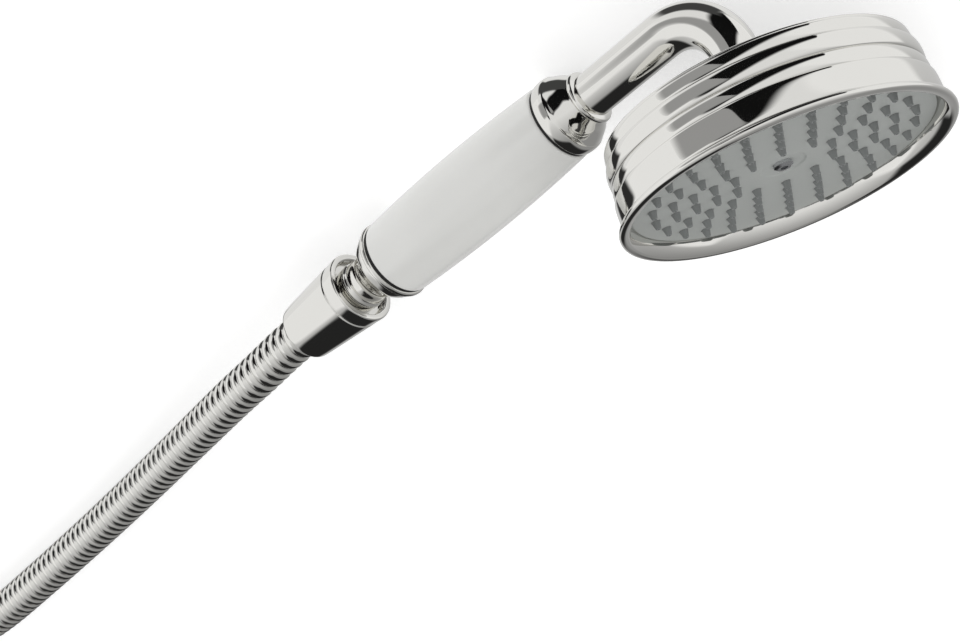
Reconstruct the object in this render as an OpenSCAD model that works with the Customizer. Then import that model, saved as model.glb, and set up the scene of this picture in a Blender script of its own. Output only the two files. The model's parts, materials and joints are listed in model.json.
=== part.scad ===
// Handheld shower head: chrome head on a bent neck, porcelain handle, conical nut and metal hose.
// It lies at rest on its side, with the hose on the same surface and its spare length folded up.

/* [Head] */
// Outside diameter of the lip round the spray face
head_d = 100; // [80:1:130]
// Height of the ribbed side, from the lip to the shoulder
side_h = 23.4; // [20:0.1:32]
// Rise of the domed back above the shoulder
dome_h = 8; // [5:0.5:14]
// Wall of the head shell
head_wall = 1.6; // [1.2:0.1:2.4]
// How far the lip stands out from the band behind it
lip_flare = 2; // [1:0.1:3]
// Thickness of the rounded lip
lip_t = 2.4; // [1.6:0.1:3.2]
// How far each rib bulges out
rib_bulge = 0.7; // [0.3:0.1:1.2]

/* [Spray face] */
// How deep the spray plate sits inside the lip
plate_recess = 3.6; // [3:0.1:6]
// Thickness of the spray plate
plate_t = 1.6; // [1.2:0.1:2.4]
// Rings of nozzles
nozzle_rings = 5; // [3:1:5]
// Nozzles on the innermost ring
first_ring = 10; // [8:1:10]
// Nozzles that each further ring adds
ring_step = 4; // [2:1:4]
// Distance between neighbours along a ring
nozzle_gap = 9.4; // [8:0.1:9.4]
// Diameter of a nozzle at the plate
nozzle_d = 2.8; // [2.2:0.1:3.4]
// Diameter of a nozzle at its tip
nozzle_tip_d = 1.5; // [1.2:0.1:1.8]
// How far a nozzle stands out of the plate
nozzle_out = 2.4; // [1.6:0.1:2.6]
// Diameter of the outlet through a nozzle
outlet_d = 0.8; // [0.6:0.1:1]
// Turn of the row where all rings line up
face_turn = -57.5; // [-90:0.5:90]
// Diameter of the shallow dish in the middle of the plate
dish_d = 14; // [12:0.5:18]

/* [Neck] */
// Outside diameter of the neck tube
neck_d = 14.2; // [12:0.1:16]
// Bore of the neck tube
neck_bore = 11.2; // [9:0.1:11.4]
// Bend radius at the middle of the tube
neck_bend_r = 18.5; // [16:0.5:30]
// Straight neck between the upper ferrule and the bend
neck_straight = 30.1; // [20:0.1:60]
// Distance from the end of the bend to the lip
neck_drop = 39.1; // [38:0.1:60]
// How far the head leans back past square
head_tilt = 4; // [0:0.5:10]

/* [Handle] */
// Length of the porcelain handle
handle_len = 79; // [60:1:110]
// Diameter of the handle at its lower end
handle_low_d = 26.8; // [25:0.1:32]
// Diameter of the handle at its upper end
handle_top_d = 26; // [25:0.1:32]
// How much the radius swells at the middle
handle_swell = 1.3; // [0:0.1:4]
// Bore of the handle
handle_bore = 17; // [14:0.5:18]
// Diameter of the beads on both ferrules, beyond the handle end
bead_over = 0.8; // [0.2:0.1:2]
// Length of the upper ferrule
ferrule_top_len = 13.7; // [12:0.1:20]
// Length of the lower ferrule
ferrule_low_len = 18.1; // [16:0.1:24]
// Thickness of the rubber rings at the handle's ends
gasket_t = 0.7; // [0.4:0.1:1.2]

/* [Nut and hose] */
// Widest diameter of the conical nut
nut_d = 25.6; // [24:0.1:28]
// Diameter of the nut where the hose enters
nut_small_d = 21; // [20.5:0.1:22]
// Length of the conical nut behind its top ring
nut_len = 29.5; // [28:0.5:40]
// Outside diameter of the G1/2 thread, drawn as a plain cylinder
thread_d = 20.8; // [20.8:0.1:20.9]
// Length of the G1/2 thread
thread_len = 8.5; // [7:0.5:9]
// Outside diameter of the hose
hose_d = 15.5; // [14:0.1:15.6]
// Diameter of the crimped sleeve on each hose end
sleeve_d = 16.4; // [16:0.1:16.6]
// Bore of the stem in each hose end
stem_bore = 7.6; // [6:0.1:8]
// Diameter of the wall nut
wall_nut_d = 25; // [24.6:0.1:30]
// Length of the wall nut
wall_nut_len = 14; // [12:0.5:16]

/* [Non-return valve] */
// Outside diameter of the valve cartridge
valve_d = 15.8; // [15:0.1:15.9]
// Diameter of the poppet's disc
poppet_d = 9.6; // [8.6:0.1:10]
// Diameter of the hole that the poppet closes
seat_bore = 7; // [5:0.1:7.6]
// Diameter of the poppet's stem
poppet_stem_d = 2.4; // [2:0.1:2.8]

/* [Clearances] */
// Radial clearance of a running fit
run = 0.05; // [0.02:0.01:0.1]
// Gap between neighbours that are fixed together
fixed_gap = 0.05; // [0.02:0.01:0.1]

/* [Hidden] */
$fn = 96;

// Stations along the handle's axis, from the nut's top ring towards the neck.
ferrule_low_at = 1.2;
gasket_low_at = ferrule_low_at + ferrule_low_len;
handle_at = gasket_low_at + gasket_t;
gasket_top_at = handle_at + handle_len;
ferrule_top_at = gasket_top_at + gasket_t;
neck_at = ferrule_top_at + ferrule_top_len;
bend_at = neck_at + neck_straight;
thread_at = -thread_len - 1.5;

// Where the head sits: the end of the bend, then straight on to the lip.
bend_turn = 90 + head_tilt;
bend_end = [bend_at + neck_bend_r * sin(bend_turn), 0, neck_bend_r * (cos(bend_turn) - 1)];
head_at = bend_end + neck_drop * [-sin(head_tilt), 0, -cos(head_tilt)];

// How the handset rests on its side: on the handle's swell and the head's shoulder.
rest_roll = -131;
rest_pitch = 1.75;
handle_r = max(handle_low_d, handle_top_d) / 4 + min(handle_low_d, handle_top_d) / 4 + handle_swell;
rest_at = [-90.23, 31.6, handle_r * cos(rest_pitch) + 2.04];

// Radii used by more than one piece.
head_r = head_d / 2;
band_r = head_r - lip_flare;
mouth_r = band_r - 2.5;
plate_back = plate_recess + plate_t;
mat_t = 1;
mat_back = plate_back + mat_t;
chamber_at = mat_back + 1.8;
chamber_t = 1.6;
bore_r = thread_d / 2 + run;

// A point on the handle's axis, a distance out of the conical nut.
function out_of_nut(d) = rest_at - (nut_len + d) * [cos(rest_pitch), 0, -sin(rest_pitch)];

// The hose's route: straight out of the nut, down to the surface, and over it to the hank.
hank_z = 8.4;
ROUTE = [
    out_of_nut(fixed_gap), out_of_nut(11), [-147, 30.7, 18.1], [-166, 29.6, 17],
    [-187, 27.8, 14.9], [-209, 25.8, 12.5], [-232, 23.8, 10.4], [-258, 21.9, 8.8],
    [-288, 20.2, 7.9], [-322, 18.9, 7.9], [-355, 18.2, 8.1], [-380, 20, hank_z],
    [-400, 23.5, hank_z], [-420, 28.8, hank_z], [-440, 34, hank_z], [-460, 36, hank_z]
];

// The hank: one long loop, whose outer run passes over the near end and round the far end.
hank_near = -460;
hank_far = -650;
hank_bend_r = 54.3;
hank_mid_y = 36 - hank_bend_r;
turn_gap = 15.6;
tie_t = 0.6;

// Inside the loop the hose bends back beside its first run, and ends in its wall nut.
inner_bend_r = hank_bend_r - turn_gap / 2;
INNER_RUN = [
    [-500, 20.4, hank_z], [-540, 19.6, 9.2], [-575, 17.6, 12.2], [-605, 15.9, 17.2],
    [-632, 15.2, 22.8], [-655, 15.2, 27.3], [-670, 15.2, 28.75], [-674, 15.2, 28.75]
];

// ---- Placing: the handset at rest, then along the handle or on the head ----

module at_rest() {
    translate(rest_at) rotate([rest_roll, rest_pitch, 0]) children();
}

// Z becomes the handle's axis.
module on_handle() {
    at_rest() rotate([0, 90, 0]) children();
}

// Z becomes the head's axis, from the lip into the head.
module on_head() {
    at_rest() translate(head_at) rotate([0, head_tilt, 0]) children();
}

// A turned piece from its half outline, as [radius, height] points.
module turned(outline) {
    rotate_extrude() polygon(outline);
}

module ring(outer_r, inner_r, from, to) {
    turned([[inner_r, from], [outer_r, from], [outer_r, to], [inner_r, to]]);
}

// A round rubber ring.
module o_ring(mid_r, thick_r, at) {
    translate([0, 0, at]) rotate_extrude() translate([mid_r, 0]) circle(thick_r, $fn = 24);
}

// Points of a rib that bulges from radius r between two heights, as half an ellipse.
function rib(r, from, to, bulge, steps = 8) =
    [for (i = [0:steps]) let (a = 180 * i / steps)
        [r + bulge * sin(a), (from + to) / 2 - (to - from) / 2 * cos(a)]];

// Points of a quarter-round edge from one angle to another.
function arc(mid, r, from, to, steps = 6) =
    [for (i = [0:steps]) let (a = from + (to - from) * i / steps) mid + r * [cos(a), sin(a)]];

// ---- Head ----

groove_1 = side_h * 0.395;
groove_2 = side_h * 0.595;
groove_3 = side_h * 0.835;
shoulder_r = band_r - 2.1;
neck_hole_r = neck_d / 2 + fixed_gap;

// The dome rises from the shoulder to the neck, steepest at its edge.
function dome(r_edge, r_in, rise, from, steps = 10) =
    [for (i = [0:steps]) let (t = i / steps)
        [r_edge + (r_in - r_edge) * t, from + rise * (1 - pow(1 - t, 2.6))]];

module head_shell() {
    inside_r = shoulder_r - head_wall;
    outline = concat(
        [[mouth_r, plate_recess - 0.1], [head_r - 2.6, -lip_t / 2 + 0.1]],
        arc([head_r - lip_t / 2, 0], lip_t / 2, -90, 70),
        [[band_r, lip_t / 2 + 0.4]],
        rib(band_r - 0.15, lip_t / 2 + 0.5, groove_1, rib_bulge * 0.35),
        rib(band_r - 1.3, groove_1 + 0.2, groove_2, rib_bulge * 0.85),
        rib(band_r - 1.5, groove_2 + 0.2, groove_3, rib_bulge),
        rib(shoulder_r - 0.2, groove_3 + 0.2, side_h, rib_bulge * 0.45),
        arc([shoulder_r - 1.4, side_h], 1.3, 0, 60),
        dome(shoulder_r - 2.4, neck_hole_r, dome_h - 1, side_h + 1.1),
        dome_back(inside_r),
        [[inside_r, side_h - 1.4], [inside_r, chamber_at + chamber_t + 0.4],
         [mouth_r + fixed_gap, chamber_at + chamber_t], [mouth_r + fixed_gap, plate_recess - 0.1]]
    );
    color("gainsboro") on_head() turned(outline);
}

// The dome's inner side, walked back outwards.
function dome_back(inside_r) =
    let (inner = dome(inside_r - 0.4, neck_hole_r, dome_h - 1, side_h - head_wall + 0.9))
    [for (i = [len(inner) - 1:-1:0]) inner[i]];

function ring_count(k) = first_ring + ring_step * k;
function ring_r(k) = ring_count(k) * nozzle_gap / (2 * PI);

// Children at every nozzle, all rings lining up along one row.
module at_nozzles() {
    rotate([0, 0, face_turn])
        for (k = [0:nozzle_rings - 1], i = [0:ring_count(k) - 1])
            rotate([0, 0, i * 360 / ring_count(k)]) translate([ring_r(k), 0, 0]) children();
}

screw_r = 1.5;
screw_head_r = 2.9;
dish_depth = 0.7;

module spray_plate() {
    color("silver") on_head() difference() {
        turned([
            [screw_r + 0.3, plate_recess + dish_depth], [screw_head_r + 0.4, plate_recess + dish_depth],
            [dish_d / 2 - 0.6, plate_recess + 0.35], [dish_d / 2, plate_recess],
            [mouth_r - 0.4, plate_recess], [mouth_r, plate_recess + 0.4], [mouth_r, plate_back],
            [screw_r + 0.3, plate_back]
        ]);
        at_nozzles() translate([0, 0, plate_recess - 1]) cylinder(h = plate_t + 2, r = nozzle_d / 2 + run, $fn = 24);
    }
}

module nozzle_mat() {
    color("darkgray") on_head() difference() {
        union() {
            ring(mouth_r - 0.4, screw_r + 0.5, plate_back, mat_back);
            at_nozzles() turned([
                [0, plate_back + 0.4], [nozzle_d / 2, plate_back + 0.4], [nozzle_d / 2, plate_recess - 0.3],
                [nozzle_tip_d / 2 + 0.1, plate_recess - nozzle_out + 0.2],
                [nozzle_tip_d / 2 - 0.1, plate_recess - nozzle_out], [0, plate_recess - nozzle_out]
            ], $fn = 24);
        }
        at_nozzles() translate([0, 0, plate_recess - nozzle_out - 1])
            cylinder(h = nozzle_out + plate_t + mat_t + 2, r = outlet_d / 2, $fn = 16);
    }
}

module centre_screw() {
    top = plate_recess + dish_depth;
    color("silver") on_head() difference() {
        turned([
            [0, top - 1.5], [screw_head_r - 0.8, top - 1.5], [screw_head_r, top - 0.9], [screw_head_r, top],
            [screw_r, top], [screw_r, chamber_at - 0.2], [0, chamber_at - 0.2]
        ]);
        translate([0, 0, top - 2.5]) cylinder(h = 2, r = 1.25, $fn = 6);
    }
}

hub_r = 10;
hub_h = 7;
neck_end = chamber_at + chamber_t + 1;

module water_chamber() {
    top = chamber_at + chamber_t;
    color("whitesmoke") on_head() difference() {
        union() {
            ring(mouth_r - 0.4, 0, chamber_at, top);
            ring(mouth_r - 0.4, mouth_r - 3, mat_back, chamber_at + 0.1);
            ring(hub_r, 0, top - 0.1, top + hub_h);
            ring(4.5, 0, mat_back, chamber_at + 0.1);
        }
        translate([0, 0, mat_back - 1]) cylinder(h = chamber_at - mat_back + 1.01, r = screw_r + run, $fn = 24);
        translate([0, 0, neck_end]) cylinder(h = hub_h + 2, r = neck_d / 2 + run);
        for (i = [0:5]) rotate([0, 0, 60 * i + 30]) translate([neck_bore / 2 - 0.2, 0, chamber_at - 1])
            cylinder(h = chamber_t + 3, r = 1.2, $fn = 24);
        for (i = [0:7]) rotate([0, 0, 45 * i]) translate([mouth_r - 1.7, 0, chamber_at - 0.6])
            cylinder(h = chamber_t + 2, r = 0.7, $fn = 16);
    }
}

module chamber_seal() {
    color("dimgray") on_head() o_ring(neck_d / 2 + 1.05, 0.95, neck_end + hub_h);
}

neck_nut_at = side_h + dome_h - head_wall - 1.15;

module neck_nut() {
    color("goldenrod") on_head() difference() {
        translate([0, 0, neck_nut_at - 4]) cylinder(h = 4, r = 12.6, $fn = 6);
        translate([0, 0, neck_nut_at - 5]) cylinder(h = 6, r = neck_d / 2 + fixed_gap);
    }
}

module neck_washer() {
    color("dimgray") on_head() ring(10.5, neck_d / 2 + fixed_gap, neck_nut_at, neck_nut_at + 0.9);
}

// ---- Neck ----

// The neck's run at one radius. The bend is a hair fatter, as a bent tube's wall is, and takes in
// both straight ends.
module neck_run(r, past = 0) {
    bend_swell = 0.02;
    taken_in = 0.5;
    on_handle() translate([0, 0, neck_at - 3 - past])
        cylinder(h = neck_straight + 3 + past + taken_in, r = r);
    at_rest() translate([bend_at, 0, -neck_bend_r]) rotate([90, 0, 0]) rotate([0, 0, 90 - bend_turn])
        rotate_extrude(angle = bend_turn) translate([neck_bend_r, 0]) circle(r + bend_swell);
    on_head() translate([0, 0, neck_end - past])
        cylinder(h = neck_drop - neck_end + past + taken_in, r = r);
}

module neck_tube() {
    collar_at = side_h + dome_h + 0.15;
    color("gainsboro") difference() {
        union() {
            neck_run(neck_d / 2);
            on_head() turned([
                [neck_bore / 2 + 0.5, collar_at], [neck_d / 2 + 1.6, collar_at],
                [neck_d / 2 + 1.6, collar_at + 0.8], [neck_bore / 2 + 0.5, collar_at + 1.8]
            ]);
        }
        neck_run(neck_bore / 2, 1);
    }
}

// ---- Handle ----

boss_len = 6;
boss_r = handle_bore / 2 - fixed_gap;
inner_tube_r = neck_bore / 2 - fixed_gap;

module upper_ferrule() {
    bead_r = handle_top_d / 2 + bead_over * 0.3;
    a = ferrule_top_at;
    color("gainsboro") on_handle() turned(concat(
        [[inner_tube_r + fixed_gap, a - boss_len], [boss_r, a - boss_len], [boss_r, a], [bead_r - 0.8, a]],
        rib(bead_r - 0.5, a + 0.3, a + 4.9, 0.5),
        [[bead_r - 0.7, a + 5.2], [bead_r - 1.3, a + 6.6], [bead_r - 2.3, a + 8.4],
         [neck_d / 2 + 2.4, a + 10.1], [neck_d / 2 + 1.4, a + ferrule_top_len - 2.6]],
        rib(neck_d / 2 + 1.2, a + ferrule_top_len - 2.3, a + ferrule_top_len - 0.4, 0.7),
        [[neck_d / 2 + 0.6, a + ferrule_top_len - 0.3], [neck_d / 2 + 0.5, a + ferrule_top_len],
         [neck_d / 2 + fixed_gap, a + ferrule_top_len], [neck_d / 2 + fixed_gap, neck_at - 3 - fixed_gap],
         [inner_tube_r + fixed_gap, neck_at - 3 - fixed_gap]]
    ));
}

module upper_gasket() {
    color("black") on_handle() ring(handle_top_d / 2 - 0.5, boss_r + fixed_gap, gasket_top_at, ferrule_top_at);
}

// The handle's outside: straight between its ends plus a parabolic swell.
function handle_side(steps = 28) = [for (i = [0:steps]) let (t = i / steps) [
    handle_low_d / 2 + (handle_top_d - handle_low_d) / 2 * t + handle_swell * 4 * t * (1 - t)
        - (i == 0 || i == steps ? 0.5 : 0),
    handle_at + handle_len * t
]];

module porcelain_handle() {
    color("white") on_handle() turned(concat(
        handle_side(),
        [[handle_bore / 2, gasket_top_at], [handle_bore / 2, handle_at]]
    ));
}

module lower_gasket() {
    color("black") on_handle() ring(handle_low_d / 2 - 0.3, boss_r + fixed_gap, gasket_low_at, handle_at);
}

spigot_r = 6.6;

module lower_ferrule() {
    bead_r = handle_low_d / 2 + bead_over / 2;
    a = gasket_low_at;
    hollow_r = spigot_r + fixed_gap;
    color("gainsboro") on_handle() turned(concat(
        [[hollow_r, ferrule_low_at], [8.3, ferrule_low_at], [8.5, ferrule_low_at + 0.3],
         [8.5, ferrule_low_at + 0.9], [8.0, ferrule_low_at + 1.3], [7.9, ferrule_low_at + 2.4],
         [7.9, a - 11.6], [8.6, a - 10.2], [10, a - 8.2], [11.1, a - 6.9], [12.2, a - 5.3],
         [bead_r - 0.8, a - 3.2], [bead_r - 0.6, a - 2.2]],
        rib(bead_r - 0.4, a - 2, a - 0.2, 0.45),
        [[bead_r - 0.8, a], [boss_r, a], [boss_r, a + boss_len], [hollow_r, a + boss_len]]
    ));
}

module inner_tube() {
    color("goldenrod") on_handle()
        ring(inner_tube_r, inner_tube_r - 1.2, gasket_low_at - 5, neck_at + 5);
}

seal_r = inner_tube_r + 0.95;

module tube_seals() {
    color("dimgray") on_handle() {
        o_ring(seal_r, 0.9, gasket_low_at + boss_len + 0.95);
        o_ring(seal_r, 0.9, ferrule_top_at - boss_len - 0.95);
    }
}

// ---- Inlet and non-return valve ----

valve_r = valve_d / 2;
valve_at = thread_at + 0.4;
valve_len = 9.3;

module inlet_spigot() {
    flange = ferrule_low_at - fixed_gap;
    color("goldenrod") on_handle() turned([
        [valve_r + fixed_gap, thread_at], [thread_d / 2 - 0.5, thread_at], [thread_d / 2, thread_at + 0.5],
        [thread_d / 2, flange - 3], [thread_d / 2 - 0.4, flange - 2.6], [8.4, flange - 2.6],
        [8.4, flange], [spigot_r, flange], [spigot_r, gasket_low_at + boss_len - 0.2],
        [inner_tube_r + fixed_gap, gasket_low_at + boss_len - 0.2],
        [inner_tube_r + fixed_gap, gasket_low_at - 5 - fixed_gap], [4.4, gasket_low_at - 5 - fixed_gap],
        [4.4, valve_at + valve_len + 1.5], [valve_r + fixed_gap, valve_at + valve_len + 0.1]
    ]);
}

module valve_body() {
    guide_at = valve_at + valve_len - 1.4;
    color("ivory") on_handle() difference() {
        turned([
            [seat_bore / 2, valve_at], [valve_r, valve_at], [valve_r, valve_at + 6],
            [valve_r - 1, valve_at + 6], [valve_r - 1, valve_at + 7.6], [valve_r, valve_at + 7.6],
            [valve_r, guide_at + 1.4], [poppet_stem_d / 2 + run, guide_at + 1.4],
            [poppet_stem_d / 2 + run, guide_at], [valve_r - 2.2, guide_at],
            [valve_r - 2.2, valve_at + 1.2], [seat_bore / 2, valve_at + 1.2]
        ]);
        for (i = [0:4]) rotate([0, 0, 72 * i]) translate([3.8, 0, guide_at - 1])
            cylinder(h = 4, r = 1.3, $fn = 24);
    }
}

poppet_at = valve_at + 1.2 + 0.05;
poppet_t = 1;
stem_end = valve_at + valve_len + 0.2;

module valve_poppet() {
    color("tomato") on_handle() turned([
        [0, poppet_at], [poppet_d / 2, poppet_at], [poppet_d / 2, poppet_at + poppet_t],
        [poppet_stem_d / 2, poppet_at + poppet_t], [poppet_stem_d / 2, stem_end], [0, stem_end]
    ]);
}

// A tube of the given radius swept along points, closed at both ends.
module swept(points, r, sides) {
    last = len(points) - 1;
    way = [for (i = [0:last]) unit(points[min(i + 1, last)] - points[max(i - 1, 0)])];
    rings = [for (i = [0:last], j = [0:sides - 1])
        let (side = unit(cross(way[i], [0, 0, 1])), top = cross(side, way[i]), a = 360 * j / sides)
        points[i] + r * (cos(a) * side + sin(a) * top)];
    walls = [for (i = [0:last - 1], j = [0:sides - 1]) let (k = (j + 1) % sides, a = i * sides)
        each [[a + j, a + k, a + sides + k], [a + j, a + sides + k, a + sides + j]]];
    caps = [[for (j = [sides - 1:-1:0]) j], [for (j = [0:sides - 1]) last * sides + j]];
    polyhedron(rings, concat(walls, caps));
}

function unit(v) = v / norm(v);

spring_wire_r = 0.3;
spring_turns = 4;

module valve_spring() {
    from = poppet_at + poppet_t + spring_wire_r + 0.1;
    to = valve_at + valve_len - 1.4 - spring_wire_r - 0.1;
    steps = round(spring_turns * 12);
    spring_r = poppet_stem_d / 2 + 1.1;
    color("silver") on_handle() rotate([0, 90, 0])
        swept([for (i = [0:steps]) let (t = i / steps, a = 360 * spring_turns * t)
            [-from - (to - from) * t, spring_r * cos(a), spring_r * sin(a)]], spring_wire_r, 6);
}

module valve_seal() {
    color("dimgray") on_handle() o_ring(valve_r - 0.5, 0.45, valve_at + 6.8);
}

// ---- Conical nut and the hose end inside it ----

flange_at = thread_at - 3.7;
flange_r = 9.5;
flange_t = 1.6;
washer_at = flange_at + flange_t + 0.05;
slip_t = 1;
stem_r = 5;
liner_r = 7.2;
hole_r = sleeve_d / 2 + run;

module hose_washer() {
    color("dimgray") on_handle() ring(flange_r + 0.3, stem_r, washer_at, thread_at - 0.05);
}

module inlet_sieve() {
    color("silver") on_handle() difference() {
        ring(stem_r - 0.05, 0, washer_at + 0.6, washer_at + 1);
        for (k = [0:2], i = [0:max(0, 6 * k - 1)]) rotate([0, 0, i * 60 / max(k, 1)])
            translate([1.5 * k, 0, washer_at]) cylinder(h = 2, r = 0.5, $fn = 16);
    }
}

module hose_nut() {
    ledge = flange_at - slip_t - 0.1;
    color("gainsboro") on_handle() turned(concat(
        [[hole_r, -nut_len]],
        arc([nut_small_d / 2 - 1.5, -nut_len + 1.5], 1.5, -90, 0),
        [[nut_small_d / 2 + 0.1, -nut_len + 3], [nut_d / 2 - 0.35, -5], [nut_d / 2 - 0.65, -4.7],
         [nut_d / 2 - 0.65, -4.4], [nut_d / 2 - 0.3, -4.1], [nut_d / 2 - 0.1, -0.6]],
        arc([nut_d / 2 - 0.8, 0.2], 0.8, 0, 80),
        [[bore_r + 0.3, 0.9], [bore_r, 0.4], [bore_r, ledge], [hole_r, ledge]]
    ));
}

module nut_slip_ring() {
    color("ivory") on_handle() ring(bore_r - run * 2, hole_r, flange_at - slip_t - 0.05, flange_at - 0.05);
}

// The three fixed pieces of a hose end: stem with flange, crimped sleeve, and inner liner.
module end_insert(at) {
    turned([
        [stem_bore / 2, at - 14], [stem_r, at - 14], [stem_r, at], [flange_r, at],
        [flange_r, at + flange_t], [stem_bore / 2, at + flange_t]
    ]);
}

module end_sleeve(at, from) {
    ring(sleeve_d / 2, liner_r + fixed_gap, from, at - fixed_gap);
}

module end_liner(at, from) {
    ring(liner_r, stem_r + fixed_gap, from, at - 0.3);
}

module hose_insert() {
    color("goldenrod") on_handle() end_insert(flange_at);
}

module hose_sleeve() {
    color("gainsboro") on_handle() end_sleeve(flange_at, -nut_len);
}

module hose_liner() {
    color("white") on_handle() end_liner(flange_at, -nut_len);
}

// ---- Hose ----

module hose_tube() {
    color("silver") swept(ROUTE, hose_d / 2, 12);
}

// A long round-ended outline between the hank's two ends.
module loop_outline(r) {
    for (x = [hank_near, hank_far]) translate([x, hank_mid_y]) circle(r);
    translate([hank_far, hank_mid_y - r]) square([hank_near - hank_far, 2 * r]);
}

module hose_hank() {
    color("silver") translate([0, 0, hank_z - hose_d / 2]) linear_extrude(hose_d) difference() {
        loop_outline(hank_bend_r + hose_d / 2);
        loop_outline(hank_bend_r - hose_d / 2);
    }
}

inner_bend = [for (i = [0:6]) let (a = -90 + 30 * i)
    [hank_near + inner_bend_r * cos(a), hank_mid_y - turn_gap / 2 + inner_bend_r * sin(a), hank_z]];

module hose_tail() {
    color("silver") swept(concat(inner_bend, INNER_RUN), hose_d / 2, 12);
}

// A strap round the two runs that lie side by side.
module hank_tie() {
    at = -482;
    out_y = hank_mid_y + hank_bend_r + hose_d / 2;
    in_y = out_y - turn_gap - hose_d;
    top = hank_z + hose_d / 2;
    color("dimgray") translate([at - 6, 0, 0]) difference() {
        translate([0, in_y - tie_t, 0.02]) cube([12, out_y - in_y + 2 * tie_t, top + tie_t - 0.02]);
        translate([-1, in_y, tie_t]) cube([14, out_y - in_y, top - tie_t]);
    }
}

// ---- Wall end of the hose, lying inside the hank ----

end_sleeve_len = 15;
sleeve_start = INNER_RUN[len(INNER_RUN) - 1];
end_way = unit(sleeve_start - INNER_RUN[len(INNER_RUN) - 2]);

// Z becomes the way the hose's far end points, from the start of its sleeve.
module on_end() {
    translate(sleeve_start) rotate([0, 90, atan2(end_way[1], end_way[0])]) children();
}

module wall_sleeve() {
    color("gainsboro") on_end() end_sleeve(end_sleeve_len, 0);
}

module wall_liner() {
    color("white") on_end() end_liner(end_sleeve_len, 0);
}

module wall_insert() {
    color("goldenrod") on_end() end_insert(end_sleeve_len);
}

module wall_slip_ring() {
    color("ivory") on_end()
        ring(pocket_r - run * 2, hole_r, end_sleeve_len - slip_t - 0.05, end_sleeve_len - 0.05);
}

wall_nut_at = end_sleeve_len - slip_t - 0.1 - 2.6;

// The nut's pocket for the hose end and its washer is a little narrower than its thread.
pocket_r = bore_r - 0.25;
wall_washer_t = 2;
wall_thread_at = end_sleeve_len + flange_t + wall_washer_t + 0.1;

module wall_nut() {
    grips = 16;
    grip_r = 1.1;
    color("gainsboro") on_end() difference() {
        turned([
            [hole_r, wall_nut_at], [wall_nut_d / 2 - 1.2, wall_nut_at], [wall_nut_d / 2, wall_nut_at + 1.2],
            [wall_nut_d / 2, wall_nut_at + wall_nut_len - 0.6],
            [wall_nut_d / 2 - 0.6, wall_nut_at + wall_nut_len], [bore_r, wall_nut_at + wall_nut_len],
            [bore_r, wall_thread_at], [pocket_r, wall_thread_at],
            [pocket_r, wall_nut_at + 2.6], [hole_r, wall_nut_at + 2.6]
        ]);
        for (i = [0:grips - 1]) rotate([0, 0, i * 360 / grips])
            translate([wall_nut_d / 2 + 0.7, 0, wall_nut_at + 2.6])
                cylinder(h = wall_nut_len - 5, r = grip_r, $fn = 24);
    }
}

module wall_washer() {
    from = end_sleeve_len + flange_t + 0.05;
    color("dimgray") on_end() ring(flange_r + 0.3, stem_r, from, from + wall_washer_t);
}

head_shell();
spray_plate();
nozzle_mat();
centre_screw();
water_chamber();
chamber_seal();
neck_nut();
neck_washer();
neck_tube();
upper_ferrule();
upper_gasket();
porcelain_handle();
lower_gasket();
lower_ferrule();
inner_tube();
tube_seals();
inlet_spigot();
valve_body();
valve_poppet();
valve_spring();
valve_seal();
hose_washer();
inlet_sieve();
hose_nut();
nut_slip_ring();
hose_insert();
hose_sleeve();
hose_liner();
hose_tube();
hose_hank();
hose_tail();
hank_tie();
wall_sleeve();
wall_liner();
wall_insert();
wall_slip_ring();
wall_nut();
wall_washer();
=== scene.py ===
import json
import math

import bmesh
import bpy
import numpy as np
from mathutils import Matrix, Quaternion, Vector


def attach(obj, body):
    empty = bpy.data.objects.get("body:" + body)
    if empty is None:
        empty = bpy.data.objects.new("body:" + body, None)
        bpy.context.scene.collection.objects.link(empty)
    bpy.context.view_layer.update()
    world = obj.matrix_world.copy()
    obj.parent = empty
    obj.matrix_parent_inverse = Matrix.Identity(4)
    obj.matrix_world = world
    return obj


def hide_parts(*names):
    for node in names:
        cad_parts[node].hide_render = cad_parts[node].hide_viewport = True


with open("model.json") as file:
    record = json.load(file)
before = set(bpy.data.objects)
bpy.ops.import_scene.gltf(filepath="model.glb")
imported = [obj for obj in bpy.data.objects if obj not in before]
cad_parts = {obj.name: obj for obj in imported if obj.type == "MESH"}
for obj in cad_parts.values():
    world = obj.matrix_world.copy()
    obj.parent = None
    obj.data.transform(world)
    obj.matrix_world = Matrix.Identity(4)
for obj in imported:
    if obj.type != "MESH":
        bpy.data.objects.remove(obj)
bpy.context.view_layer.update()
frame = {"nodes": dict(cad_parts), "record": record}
nodes = frame["nodes"]
scene = bpy.context.scene
scene.view_settings.view_transform = "Standard"
MM = 0.001

# ---- Sizes in millimetres, as the CAD has them ----

rest_roll, rest_pitch = -131, 1.75
handle_low_d, handle_top_d, handle_swell = 26.8, 26, 1.3
handle_r = (handle_low_d + handle_top_d) / 4 + handle_swell
rest_at = Vector((-90.23, 31.6, handle_r * math.cos(math.radians(rest_pitch)) + 2.04))

ferrule_low_at, ferrule_low_len = 1.2, 18.1
gasket_low_at = ferrule_low_at + ferrule_low_len
gasket_t = 0.7
handle_at, handle_len = gasket_low_at + gasket_t, 79
gasket_top_at = handle_at + handle_len
ferrule_top_at, ferrule_top_len = gasket_top_at + gasket_t, 13.7
neck_at = ferrule_top_at + ferrule_top_len

neck_d, neck_bend_r, neck_straight, neck_drop, head_tilt = 14.2, 18.5, 30.1, 39.1, 4
bend_at = neck_at + neck_straight
bend_turn = math.radians(90 + head_tilt)
bend_end = Vector((bend_at + neck_bend_r * math.sin(bend_turn), 0, neck_bend_r * (math.cos(bend_turn) - 1)))
head_way = Vector((-math.sin(math.radians(head_tilt)), 0, -math.cos(math.radians(head_tilt))))
head_at = bend_end + neck_drop * head_way

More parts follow.
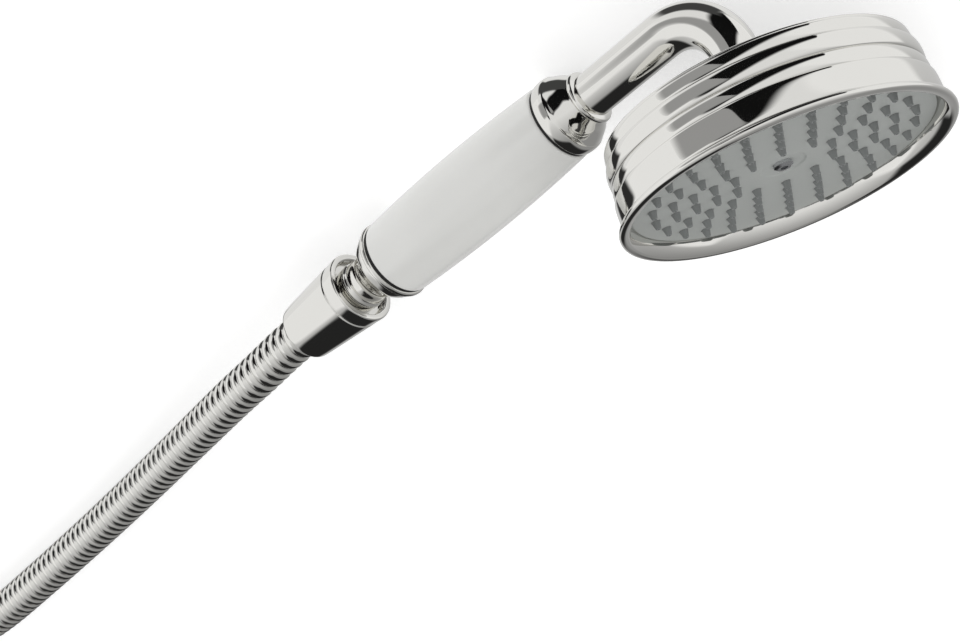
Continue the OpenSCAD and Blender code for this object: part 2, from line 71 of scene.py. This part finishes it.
head_r, lip_t, side_h, dome_h = 50, 2.4, 23.4, 8
band_r, shoulder_r, mouth_r = 48, 45.9, 45.5
plate_recess, rib_bulge = 3.6, 0.7

nut_len, nut_d, nut_small_d, bore_r, hole_r = 29.5, 25.6, 21, 10.45, 8.25
hose_d = 15.5

AT_REST = (
    Matrix.Translation(rest_at)
    @ Matrix.Rotation(math.radians(rest_pitch), 4, "Y")
    @ Matrix.Rotation(math.radians(rest_roll), 4, "X")
)
ON_HANDLE = AT_REST @ Matrix.Rotation(math.radians(90), 4, "Y")
ON_HEAD = AT_REST @ Matrix.Translation(head_at) @ Matrix.Rotation(math.radians(head_tilt), 4, "Y")

# ---- Camera ----


def add_camera():
    eye, aim, roll = Vector((0.3247, 0.15625, 0.52364)), Vector((-0.07895, -0.00811, 0)), 154.9
    data = bpy.data.cameras.new("camera")
    data.lens, data.sensor_width = 75, 36
    camera = bpy.data.objects.new("camera", data)
    camera.location = eye
    camera.rotation_mode = "QUATERNION"
    look = (aim - eye).to_track_quat("-Z", "Y")
    camera.rotation_quaternion = look @ Quaternion((0, 0, 1), math.radians(-roll))
    scene.collection.objects.link(camera)
    scene.camera = camera


add_camera()

# ---- Materials ----


def colour(hex_code):
    """Linear colour of an sRGB hex code."""
    parts = [int(hex_code[i : i + 2], 16) / 255 for i in (1, 3, 5)]
    return [p / 12.92 if p <= 0.04045 else ((p + 0.055) / 1.055) ** 2.4 for p in parts] + [1]


def add(tree, kind, inputs=(), **settings):
    """Adds a node, with its settings, and its inputs as values or as sockets to link from."""
    made = tree.nodes.new(kind)
    for key, value in settings.items():
        setattr(made, key, value)
    for key, value in dict(inputs).items():
        if isinstance(value, bpy.types.NodeSocket):
            tree.links.new(value, made.inputs[key])
        else:
            made.inputs[key].default_value = value
    return made


def new_material(name, **sockets):
    """A material with one Principled shader, and where its patterns take their place from."""
    material = bpy.data.materials.new(name)
    material.use_nodes = True
    tree = material.node_tree
    shader = tree.nodes["Principled BSDF"]
    for key, value in sockets.items():
        shader.inputs[key.replace("_", " ").title() if key != "ior" else "IOR"].default_value = value
    place = add(tree, "ShaderNodeTexCoord").outputs["Object"]
    return material, tree, shader, place


def noise(tree, place, size_mm, detail=2.0):
    """Noise whose lumps are about this size."""
    return add(tree, "ShaderNodeTexNoise", {"Vector": place, "Scale": 1 / (size_mm * MM), "Detail": detail})


def spread(tree, value, low, high, from_low=0.3, from_high=0.7):
    return add(
        tree,
        "ShaderNodeMapRange",
        {"Value": value, "From Min": from_low, "From Max": from_high, "To Min": low, "To Max": high},
    ).outputs["Result"]


def bump(tree, height, depth_mm, normal=None):
    inputs = {"Height": height, "Distance": depth_mm * MM}
    if normal is not None:
        inputs["Normal"] = normal
    return add(tree, "ShaderNodeBump", inputs).outputs["Normal"]


def chrome_plate():
    """Polished chrome over brass: a mirror, with a faint ripple from hand polishing."""
    material, tree, shader, place = new_material("chrome_plate", base_color=colour("#e5e4e0"), metallic=1)
    tree.links.new(spread(tree, noise(tree, place, 9).outputs["Fac"], 0.03, 0.06), shader.inputs["Roughness"])
    ripple = noise(tree, place, 14, 1).outputs["Fac"]
    tree.links.new(bump(tree, ripple, 0.01), shader.inputs["Normal"])
    return material


def satin_plate():
    """Satin-blasted chrome on the spray plate: soft grey, no clear mirror image."""
    material, tree, shader, place = new_material("satin_plate", base_color=colour("#b9bcb9"), metallic=0.4)
    grain = noise(tree, place, 0.6, 4).outputs["Fac"]
    tree.links.new(spread(tree, grain, 0.42, 0.52), shader.inputs["Roughness"])
    grit = noise(tree, place, 0.5, 3).outputs["Fac"]
    tree.links.new(bump(tree, grit, 0.01), shader.inputs["Normal"])
    return material


def moulded_silicone(name="moulded_silicone", hex_code="#7c7f7e"):
    """Moulded silicone: soft grey with a dull sheen."""
    material, tree, shader, place = new_material(name, roughness=0.38, sheen_weight=0.1)
    tone = spread(tree, noise(tree, place, 4).outputs["Fac"], 0.0, 1.0)
    shade = add(
        tree,
        "ShaderNodeMix",
        {0: tone, 6: colour(hex_code), 7: [c * 0.9 for c in colour(hex_code)[:3]] + [1]},
        data_type="RGBA",
    )
    tree.links.new(shade.outputs[2], shader.inputs["Base Color"])
    tree.links.new(bump(tree, noise(tree, place, 0.4, 3).outputs["Fac"], 0.01), shader.inputs["Normal"])
    return material


def glazed_porcelain():
    """White porcelain under a clear fired glaze: an even cool white, with soft-edged glossy lights."""
    material, tree, shader, place = new_material("glazed_porcelain", ior=1.52, coat_weight=0.5)
    shader.inputs["Coat Roughness"].default_value = 0.05
    tone = spread(tree, noise(tree, place, 30, 3).outputs["Fac"], 0.0, 1.0)
    body = add(tree, "ShaderNodeMix", {0: tone, 6: colour("#e4e4e1"), 7: colour("#dfdfdc")}, data_type="RGBA")
    tree.links.new(body.outputs[2], shader.inputs["Base Color"])
    tree.links.new(spread(tree, noise(tree, place, 6).outputs["Fac"], 0.09, 0.14), shader.inputs["Roughness"])
    tree.links.new(bump(tree, noise(tree, place, 8, 1).outputs["Fac"], 0.02), shader.inputs["Normal"])
    return material


def black_rubber():
    """Black nitrile rubber: nearly matte, with fine moulding grain."""
    material, tree, shader, place = new_material("black_rubber", base_color=colour("#151515"))
    tree.links.new(spread(tree, noise(tree, place, 2).outputs["Fac"], 0.5, 0.7), shader.inputs["Roughness"])
    tree.links.new(bump(tree, noise(tree, place, 0.3, 3).outputs["Fac"], 0.01), shader.inputs["Normal"])
    return material


def turned_brass():
    """Bare brass from the lathe: warm yellow with fine tool marks."""
    material, tree, shader, place = new_material("turned_brass", base_color=colour("#d2ac5c"), metallic=1)
    grain = noise(tree, place, 0.8, 3).outputs["Fac"]
    tree.links.new(spread(tree, grain, 0.2, 0.36), shader.inputs["Roughness"])
    tree.links.new(bump(tree, noise(tree, place, 0.25, 2).outputs["Fac"], 0.01), shader.inputs["Normal"])
    return material


def acetal():
    """Moulded white acetal: slightly waxy."""
    material, tree, shader, place = new_material("acetal", base_color=colour("#dfdfd8"))
    tree.links.new(spread(tree, noise(tree, place, 3).outputs["Fac"], 0.35, 0.5), shader.inputs["Roughness"])
    tree.links.new(bump(tree, noise(tree, place, 0.5, 2).outputs["Fac"], 0.01), shader.inputs["Normal"])
    return material


def stainless_steel():
    """Drawn stainless steel: cool grey, a little brushed."""
    material, tree, shader, place = new_material("stainless_steel", base_color=colour("#c2c3c5"), metallic=1)
    grain = noise(tree, place, 0.6, 3).outputs["Fac"]
    tree.links.new(spread(tree, grain, 0.2, 0.34), shader.inputs["Roughness"])
    tree.links.new(bump(tree, noise(tree, place, 0.3, 2).outputs["Fac"], 0.01), shader.inputs["Normal"])
    return material


chrome, satin, silicone = chrome_plate(), satin_plate(), moulded_silicone()
porcelain, rubber, brass, plastic, steel = (
    glazed_porcelain(),
    black_rubber(),
    turned_brass(),
    acetal(),
    stainless_steel(),
)
strap_rubber = moulded_silicone("strap_silicone", "#2a2b2d")

FINISHES = {
    "chrome": chrome,
    "satin_metal": satin,
    "silicone": silicone,
    "steel": steel,
    "plastic": plastic,
    "rubber": rubber,
    "brass": brass,
    "porcelain": porcelain,
    "hose_metal": chrome,
    "tie": strap_rubber,
}
for part in frame["record"]["subparts"]:
    mesh = nodes[part["node"]].data
    mesh.materials.clear()
    mesh.materials.append(FINISHES[part["material_slot"]])

# ---- Mesh makers ----


def new_piece(name, verts, faces, material, body, replaced=(), sharp=35):
    mesh = bpy.data.meshes.new(name)
    mesh.from_pydata([tuple(v) for v in verts], [], [tuple(f) for f in faces])
    mesh.materials.append(material)
    tidy = bmesh.new()
    tidy.from_mesh(mesh)
    bmesh.ops.remove_doubles(tidy, verts=tidy.verts, dist=1e-6)
    bmesh.ops.recalc_face_normals(tidy, faces=tidy.faces)
    tidy.to_mesh(mesh)
    tidy.free()
    mesh.shade_smooth()
    mesh.set_sharp_from_angle(angle=math.radians(sharp))
    piece = bpy.data.objects.new(name, mesh)
    scene.collection.objects.link(piece)
    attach(piece, body)
    if replaced:
        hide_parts(*replaced)
    return piece


def rounded(corners, steps=6):
    """An outline from (radius, height, rounding) corners, each corner rounded off that far back."""
    outline, n = [], len(corners)
    for i, (r, z, back) in enumerate(corners):
        here = Vector((r, z))
        if back == 0:
            outline.append((r, z))
            continue
        before = Vector(corners[i - 1][:2]) - here
        after = Vector(corners[(i + 1) % n][:2]) - here
        start = here + before.normalized() * min(back, before.length * 0.49)
        end = here + after.normalized() * min(back, after.length * 0.49)
        for k in range(steps + 1):
            t = k / steps
            p = start * (1 - t) ** 2 + here * 2 * t * (1 - t) + end * t**2
            outline.append((p.x, p.y))
    return outline


def rib(r, low, high, bulge, steps=12):
    """Half an ellipse standing out of radius r between two heights."""
    return [
        (r + bulge * math.sin(a), (low + high) / 2 - (high - low) / 2 * math.cos(a))
        for a in (math.pi * i / steps for i in range(steps + 1))
    ]


def turned(name, outline, where, material, replaced=(), body="handset", steps=192, sharp=35):
    """A turned piece from its closed (radius, height) outline."""
    verts, faces, n = [], [], len(outline)
    for i in range(steps):
        a = 2 * math.pi * i / steps
        for r, z in outline:
            verts.append(where @ Vector((r * math.cos(a), r * math.sin(a), z)) * MM)
    for i in range(steps):
        k = (i + 1) % steps
        for j in range(n):
            m = (j + 1) % n
            if outline[j][0] < 1e-6 and outline[m][0] < 1e-6:
                continue
            faces.append((i * n + j, k * n + j, k * n + m, i * n + m))
    faces = [f for f in faces if len(set(f)) == 4]
    return new_piece(name, verts, faces, material, body, replaced, sharp)


def smooth_path(points, step):
    """Points on a smooth curve through these, 24 to each stretch between them, and how far along the curve
    each point lies.
    """
    p = [2 * np.array(points[0]) - np.array(points[1])] + [np.array(q, float) for q in points]
    p.append(2 * p[-1] - p[-2])
    fine = []
    for a, b, c, d in zip(p, p[1:], p[2:], p[3:]):
        for t in np.linspace(0, 1, 24, endpoint=False):
            squared = (2 * a - 5 * b + 4 * c - d) * t**2
            cubed = (3 * b - a - 3 * c + d) * t**3
            fine.append(0.5 * (2 * b + (c - a) * t + squared + cubed))
    fine = np.array(fine + [p[-2]])
    run = np.concatenate([[0], np.cumsum(np.linalg.norm(np.diff(fine, axis=0), axis=1))])
    return fine, run


# ---- Hose ----


def out_of_nut(d):
    pitch = math.radians(rest_pitch)
    return rest_at - (nut_len + d) * Vector((math.cos(pitch), 0, -math.sin(pitch)))


hank_z, hank_near, hank_far, hank_bend_r, turn_gap = 8.4, -460, -650, 54.3, 15.6
hank_mid_y = 36 - hank_bend_r
inner_bend_r = hank_bend_r - turn_gap / 2

STRAIGHT = [
    tuple(out_of_nut(0)), tuple(out_of_nut(11)), (-147, 30.7, 18.1), (-166, 29.6, 17),
    (-187, 27.8, 14.9), (-209, 25.8, 12.5), (-232, 23.8, 10.4), (-258, 21.9, 8.8),
    (-288, 20.2, 7.9), (-322, 18.9, 7.9), (-355, 18.2, 8.1), (-380, 20, hank_z),
    (-400, 23.5, hank_z), (-420, 28.8, hank_z), (-440, 34, hank_z), (-460, 36, hank_z),
]
INNER_RUN = [
    (-500, 20.4, hank_z), (-540, 19.6, 9.2), (-575, 17.6, 12.2), (-605, 15.9, 17.2),
    (-632, 15.2, 22.8), (-655, 15.2, 27.3), (-670, 15.2, 28.75), (-674, 15.2, 28.75),
]


def half_turn(x, y, r, start):
    """A half turn, anticlockwise from above, from this angle."""
    angles = [math.radians(start + 180 * i / 18) for i in range(19)]
    return [(x + r * math.cos(a), y + r * math.sin(a), hank_z) for a in angles]


def hose_route():
    """Out of the nut, along the table, round the hank's far end, back, and round its near end."""
    over = [(x, 36, hank_z) for x in (-500, -540, -580, -620)]
    back = [(x, hank_mid_y - hank_bend_r, hank_z) for x in (-620, -580, -540, -500)]
    return (
        STRAIGHT
        + over
        + half_turn(hank_far, hank_mid_y, hank_bend_r, 90)
        + back
        + half_turn(hank_near, hank_mid_y - turn_gap / 2, inner_bend_r, -90)
        + INNER_RUN
    )


strip_pitch = 4.0
# One turn of the wound strip, as (how far along it, how far below the hose's full radius).
STRIP = [
    (0.0, 1.0), (0.1, 0.95), (0.15, 0.4), (0.24, 0.12), (0.4, 0.0),
    (0.56, 0.04), (0.72, 0.2), (0.84, 0.5), (0.9, 0.95),
]


def wound_hose():
    """Chromed strip wound into a hose, each turn hooked over the last."""
    route = hose_route()
    fine, run = smooth_path(route, 1)
    length, sides, n = run[-1], 36, len(STRIP)
    turns = int(length / strip_pitch) + 2
    way = np.gradient(fine, run, axis=0)

    def on_route(s):
        p = np.array([np.interp(s, run, fine[:, k]) for k in range(3)])
        w = np.array([np.interp(s, run, way[:, k]) for k in range(3)])
        return p, w / np.linalg.norm(w)

    verts, inside, faces = [], [], []
    rows = turns * n
    for i in range(rows):
        share, down = STRIP[i % n]
        for j in range(sides):
            s = (i // n - 1 + share + j / sides) * strip_pitch
            p, w = on_route(min(max(s, 0), length))
            side = np.cross(w, (0, 0, 1))
            side /= np.linalg.norm(side)
            top = np.cross(side, w)
            a, r = 2 * math.pi * j / sides, hose_d / 2 - down
            verts.append((p + r * (math.cos(a) * side + math.sin(a) * top)) * MM)
            inside.append(0 < s < length)
    for i in range(rows - 1):
        for j in range(sides):
            wrap = j == sides - 1
            i2, j2 = (i + n, 0) if wrap else (i, j + 1)
            if i2 + 1 >= rows:
                continue
            face = (i * sides + j, i2 * sides + j2, (i2 + 1) * sides + j2, (i + 1) * sides + j)
            if any(inside[v] for v in face):
                faces.append(face)
    stood_for = ["hose_tube", "hose_hank", "hose_tail"]
    piece = new_piece("metal_hose", verts, faces, chrome, "handset", stood_for, 180)


wound_hose()

# ---- Head ----


def dome(r_edge, r_in, rise, low, steps=24):
    """The head's rounded back, steep at its edge and nearly flat at the neck."""
    shares = [i / steps for i in range(steps + 1)]
    return [(r_edge + (r_in - r_edge) * t, low + rise * (1 - (1 - t) ** 2.6)) for t in shares]


def head():
    g1, g2, g3 = 9.24, 13.92, 19.54
    lip = [
        (head_r - lip_t / 2 + lip_t / 2 * math.cos(math.radians(a)), lip_t / 2 * math.sin(math.radians(a)))
        for a in range(-90, 75, 8)
    ]
    shoulder = [
        (shoulder_r - 0.1 - 1.3 * (1 - math.cos(a)), side_h + 1.1 * math.sin(a)) for a in (0.3, 0.6, 0.9, 1.2)
    ]
    outline = (
        [(mouth_r, plate_recess - 0.1), (head_r - 2.9, -lip_t / 2 + 0.4), (head_r - 2.3, -lip_t / 2 + 0.08)]
        + lip
        + [(band_r, lip_t / 2 + 0.3)]
        + rib(band_r - 0.15, lip_t / 2 + 0.45, g1, rib_bulge * 0.35)
        + rib(band_r - 1.3, g1 + 0.2, g2, rib_bulge * 0.85)
        + rib(band_r - 1.5, g2 + 0.2, g3, rib_bulge)
        + rib(shoulder_r - 0.2, g3 + 0.2, side_h, rib_bulge * 0.45)
        + shoulder
        + dome(shoulder_r - 2.4, neck_d / 2 + 0.05, dome_h - 1, side_h + 1.1)
        + [(neck_d / 2 + 0.05, side_h + dome_h - 1.6), (shoulder_r - 6, side_h - 0.6), (shoulder_r - 2, 10)]
        + [(mouth_r + 0.05, 9.6)]
    )
    turned("head_bell", outline, ON_HEAD, chrome, ["head_shell"], steps=256, sharp=50)


head()

# ---- Spray face ----

nozzle_rings, first_ring, ring_step, nozzle_gap, face_turn = 5, 10, 4, 9.4, -57.5
nozzle_d, nozzle_tip_d, nozzle_out, outlet_d = 2.8, 1.5, 2.4, 0.8


def nozzle_spots():
    for k in range(nozzle_rings):
        count = first_ring + ring_step * k
        r = count * nozzle_gap / (2 * math.pi)
        for i in range(count):
            yield r, math.radians(face_turn + 360 * i / count)


def nozzles():
    """Tapered nubs with a soft foot, a rounded tip and an outlet. They are open behind the plate."""
    tip = plate_recess - nozzle_out
    profile = [
        (nozzle_d / 2, plate_recess + 1.2), (nozzle_d / 2, plate_recess - 0.05),
        (nozzle_d / 2 - 0.12, plate_recess - 0.35), (nozzle_tip_d / 2 + 0.12, tip + 0.3),
        (nozzle_tip_d / 2 + 0.03, tip + 0.1), (nozzle_tip_d / 2 - 0.12, tip),
        (outlet_d / 2 + 0.06, tip + 0.02), (outlet_d / 2, tip + 0.12), (outlet_d / 2 - 0.06, tip + 1.2),
    ]
    sides, verts, faces = 20, [], []
    for r, a in nozzle_spots():
        mid = Vector((r * math.cos(a), r * math.sin(a), 0))
        base = len(verts)
        for pr, pz in profile:
            for j in range(sides):
                b = 2 * math.pi * j / sides
                verts.append(ON_HEAD @ (mid + Vector((pr * math.cos(b), pr * math.sin(b), pz))) * MM)
        for i in range(len(profile) - 1):
            for j in range(sides):
                k = (j + 1) % sides
                low, high = base + i * sides, base + (i + 1) * sides
                faces.append((low + j, low + k, high + k, high + j))
    new_piece("nozzle_nubs", verts, faces, silicone, "handset", ["nozzle_mat"], 60)


nozzles()

# ---- Neck, ferrules, handle ----


def neck():
    """The bent tube: straight out of the ferrule, round the bend, straight to the head."""
    steps = 48
    line = [(Vector((neck_at - 3, 0, 0)), Vector((1, 0, 0)))]
    for i in range(steps + 1):
        a = bend_turn * i / steps
        line.append(
            (
                Vector((bend_at + neck_bend_r * math.sin(a), 0, neck_bend_r * (math.cos(a) - 1))),
                Vector((math.cos(a), 0, -math.sin(a))),
            )
        )
    line.append((head_at - head_way * (side_h + dome_h - 2), head_way))
    sides, verts, faces = 96, [], []
    for p, w in line:
        up = Vector((-w.z, 0, w.x))
        for j in range(sides):
            b = 2 * math.pi * j / sides
            out = math.cos(b) * up + math.sin(b) * Vector((0, 1, 0))
            verts.append(AT_REST @ (p + neck_d / 2 * out) * MM)
    for i in range(len(line) - 1):
        for j in range(sides):
            k = (j + 1) % sides
            faces.append((i * sides + j, i * sides + k, (i + 1) * sides + k, (i + 1) * sides + j))
    new_piece("neck_bend", verts, faces, chrome, "handset", ["neck_tube"], 60)


neck()


def upper_ferrule():
    a, bead = ferrule_top_at, handle_top_d / 2 + 0.24
    outline = (
        [(8.5, a + 0.2), (bead - 0.8, a)]
        + rib(bead - 0.5, a + 0.3, a + 4.9, 0.5)
        + rounded(
            [(bead - 0.7, a + 5.1, 0), (bead - 1.2, a + 6.4, 1.2), (bead - 2.6, a + 8.8, 1.6),
             (neck_d / 2 + 2.0, a + 10.4, 1.2), (neck_d / 2 + 1.4, a + ferrule_top_len - 2.5, 0)]
        )
        + rib(neck_d / 2 + 1.2, a + ferrule_top_len - 2.3, a + ferrule_top_len - 0.4, 0.7)
        + [(neck_d / 2 + 0.5, a + ferrule_top_len), (neck_d / 2 - 0.2, a + ferrule_top_len)]
        + [(neck_d / 2 - 0.2, a + 1)]
    )
    turned("ferrule_top", outline, ON_HANDLE, chrome, ["upper_ferrule"], sharp=45)


def lower_ferrule():
    a, bead = gasket_low_at, handle_low_d / 2 + 0.4
    outline = (
        [(6.7, ferrule_low_at)]
        + rounded(
            [(8.5, ferrule_low_at, 0.3), (8.5, ferrule_low_at + 1.0, 0.4), (7.9, ferrule_low_at + 1.6, 0.8),
             (7.9, a - 11.4, 2.5), (10.2, a - 8.0, 2), (12.0, a - 5.6, 2), (bead - 0.6, a - 2.6, 0.8),
             (bead - 0.6, a - 2.15, 0)]
        )
        + rib(bead - 0.4, a - 2, a - 0.2, 0.45)
        + [(bead - 0.8, a), (8.5, a), (6.7, a - 1)]
    )
    turned("ferrule_low", outline, ON_HANDLE, chrome, ["lower_ferrule"], sharp=45)


def handle():
    side = []
    for i in range(41):
        t = i / 40
        r = handle_low_d / 2 + (handle_top_d - handle_low_d) / 2 * t + handle_swell * 4 * t * (1 - t)
        side.append((r, handle_at + handle_len * t))
    low, high = side[0], side[-1]
    outline = rounded(
        [(8.5, low[1] + 0.2, 0), (low[0] - 0.05, low[1], 1.0)]
        + [(r, z, 0) for r, z in side[1:-1]]
        + [(high[0] - 0.05, high[1], 1.0), (8.5, high[1] - 0.2, 0)]
    )
    turned("porcelain_grip", outline, ON_HANDLE, porcelain, ["porcelain_handle"], sharp=60)


upper_ferrule()
lower_ferrule()
handle()

# ---- Conical nut ----


def hose_nut():
    slope_r = nut_d / 2
    outline = rounded(
        [(hole_r, -nut_len, 0.3), (nut_small_d / 2 - 0.3, -nut_len, 1.8),
         (nut_small_d / 2 + 0.1, -nut_len + 3, 1.5),
         (slope_r - 0.42, -5.0, 0.1), (slope_r - 0.8, -4.75, 0.1), (slope_r - 0.8, -4.35, 0.1),
         (slope_r - 0.4, -4.1, 0.1), (slope_r - 0.05, -0.6, 0.8), (slope_r, 0.95, 0.7), (10.9, 0.99, 0.2),
         (bore_r, 0.5, 0.2), (bore_r, -14.8, 0), (hole_r, -14.8, 0)]
    )
    turned("cone_nut", outline, ON_HANDLE, chrome, ["hose_nut"], "hose_nut", sharp=50)


hose_nut()

# ---- Studio ----


def way_to(azimuth, elevation):
    """Unit vector towards a compass direction: azimuth 0 is +X and 90 is +Y."""
    a, e = math.radians(azimuth), math.radians(elevation)
    return Vector((math.cos(a) * math.cos(e), math.sin(a) * math.cos(e), math.sin(e)))


def paper(name, brightness, hex_code="#ffffff"):
    """Lit or dark studio paper, as a glow of its own, fading out at its edges."""
    material = bpy.data.materials.new(name)
    material.use_nodes = True
    tree = material.node_tree
    tree.nodes.clear()
    flat = add(tree, "ShaderNodeTexCoord").outputs["UV"]
    middle = {0: flat, 1: (0.5, 0.5, 0)}
    across = add(tree, "ShaderNodeVectorMath", middle, operation="SUBTRACT").outputs["Vector"]
    apart = add(tree, "ShaderNodeSeparateXYZ", {"Vector": across})
    edge = []
    for axis in "XY":
        off = add(tree, "ShaderNodeMath", {0: apart.outputs[axis]}, operation="ABSOLUTE").outputs[0]
        fade = {"Value": off, "From Min": 0.5, "From Max": 0.33}
        edge.append(add(tree, "ShaderNodeMapRange", fade, interpolation_type="SMOOTHSTEP").outputs[0])
    shown = add(tree, "ShaderNodeMath", {0: edge[0], 1: edge[1]}, operation="MULTIPLY").outputs[0]
    glow = add(tree, "ShaderNodeEmission", {"Color": colour(hex_code), "Strength": brightness})
    clear = add(tree, "ShaderNodeBsdfTransparent")
    both = add(tree, "ShaderNodeMixShader", {0: shown, 1: clear.outputs[0], 2: glow.outputs[0]})
    add(tree, "ShaderNodeOutputMaterial", {"Surface": both.outputs[0]})
    return material


def card(name, azimuth, elevation, wide, tall, turn, brightness, distance=1.6, fill=False):
    """A paper card that only mirror-like surfaces see, or a fill that only soft ones do. Its sizes are
    in degrees as seen from the handset."""
    mesh = bpy.data.meshes.new(name)
    w, h = (distance * math.tan(math.radians(size / 2)) for size in (wide, tall))
    mesh.from_pydata([(-w, -h, 0), (w, -h, 0), (w, h, 0), (-w, h, 0)], [], [(0, 1, 2, 3)])
    corners = mesh.uv_layers.new(name="UVMap").data
    for corner, uv in zip(corners, ((0, 0), (1, 0), (1, 1), (0, 1))):
        corner.uv = uv
    mesh.materials.append(paper(name + "_paper", brightness))
    made = bpy.data.objects.new(name, mesh)
    out = way_to(azimuth, elevation)
    made.location = out * distance
    made.rotation_mode = "QUATERNION"
    made.rotation_quaternion = out.to_track_quat("Z", "Y") @ Quaternion((0, 0, 1), math.radians(turn))
    scene.collection.objects.link(made)
    made.visible_camera = made.visible_shadow = False
    made.visible_diffuse, made.visible_glossy = fill, not fill
    made.visible_transmission = made.visible_volume_scatter = False


def studio():
    """White table, a room that is bright all round but for its far side, and cards for the chrome."""
    table = bpy.data.materials.new("white_table")
    table.use_nodes = True
    top = table.node_tree.nodes["Principled BSDF"]
    top.inputs["Base Color"].default_value = colour("#f2f2f2")
    top.inputs["Roughness"].default_value = 0.9
    top.inputs["Emission Color"].default_value = (1, 1, 1, 1)
    top.inputs["Emission Strength"].default_value = 0.42
    mesh = bpy.data.meshes.new("floor")
    half = 3.0
    corners = [(-half, -half, 0), (half, -half, 0), (half, half, 0), (-half, half, 0)]
    mesh.from_pydata(corners, [], [(0, 1, 2, 3)])
    mesh.materials.append(table)
    floor = bpy.data.objects.new("floor", mesh)
    floor.visible_glossy = False
    scene.collection.objects.link(floor)

    world = bpy.data.worlds.new("studio")
    scene.world = world
    world.use_nodes = True
    tree = world.node_tree
    sky = add(tree, "ShaderNodeTexCoord").outputs["Generated"]
    dark_side = {0: sky, 1: way_to(-100, 10)}
    facing = add(tree, "ShaderNodeVectorMath", dark_side, operation="DOT_PRODUCT").outputs["Value"]
    level = spread(tree, facing, 0.86, 0.3, -0.3, 0.8)
    tree.links.new(level, tree.nodes["Background"].inputs["Strength"])
    tree.nodes["Background"].inputs["Color"].default_value = (1, 1, 1, 1)

    card("white_low", 0, -22, 80, 75, 0, 0.95)
    card("white_high", 138, 22, 75, 85, 0, 0.95)
    card("grey_side", 92, 26, 56, 46, 0, 0.35, 1.5)
    card("black_strip", 57, 4, 44, 124, -28, 0.006, 1.4)
    card("dark_low", 80, -40, 60, 50, 0, 0.06, 1.42)
    card("black_far", -138, 14, 62, 84, 0, 0.02, 1.4)
    card("black_near", 172, -22, 30, 40, 0, 0.03, 1.4)
    card("face_fill", -88, 42, 90, 80, 0, 1.25, 1.5, True)


studio()
